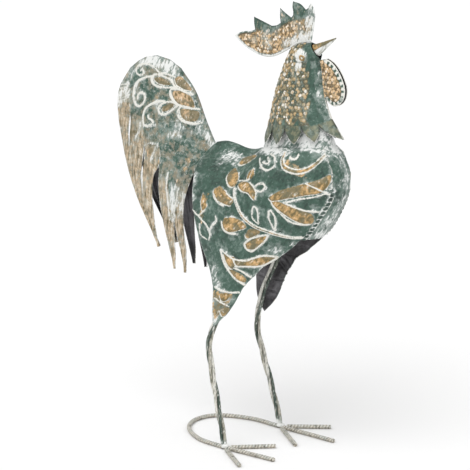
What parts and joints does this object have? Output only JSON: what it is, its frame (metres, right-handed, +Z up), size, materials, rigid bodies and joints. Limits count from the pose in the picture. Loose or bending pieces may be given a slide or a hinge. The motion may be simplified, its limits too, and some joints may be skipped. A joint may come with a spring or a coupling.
{
  "type": "metal rooster garden ornament",
  "caption": "Pressed sheet metal rooster on twisted wire legs, with painted scrolls and leaves, joined feet and an arched tail.",
  "frame": {"origin": "on the floor, under the middle of the bird's bounding box", "axes": "+X towards the beak, +Y towards the bird's left side, +Z up"},
  "size_m": [0.3868, 0.212, 0.5998],
  "materials": {
    "body_paint": "dark sage green with rubbed whitewash and gold",
    "tail_paint": "taupe and brown with cream raised scrolls",
    "hackle_paint": "hammered gold over green, cream petals",
    "comb_paint": "gold beads, cream rim, green tips",
    "wattle_paint": "gold beads and cream rim",
    "beak_paint": "gold above, cream below",
    "leg_wire": "green grey rubbed with cream",
    "foot_rod": "gold brown rubbed with cream"
  },
  "bodies": {
    "root": {"body_right": "body_paint", "body_left": "body_paint", "tail_right": "tail_paint", "tail_left": "tail_paint", "neck_right": "hackle_paint", "neck_left": "hackle_paint", "comb": "comb_paint", "beak_upper": "beak_paint", "beak_lower": "beak_paint", "wattle_right": "wattle_paint", "wattle_left": "wattle_paint", "leg_right_wire_1": "leg_wire", "leg_right_wire_2": "leg_wire", "leg_right_wire_3": "leg_wire", "leg_left_wire_1": "leg_wire", "leg_left_wire_2": "leg_wire", "leg_left_wire_3": "leg_wire", "toe_right_inner": "foot_rod", "toe_right_middle": "foot_rod", "toe_right_outer": "foot_rod", "toe_left_inner": "foot_rod", "toe_left_middle": "foot_rod", "toe_left_outer": "foot_rod", "hoop": "foot_rod"}
  },
  "joints": []
}
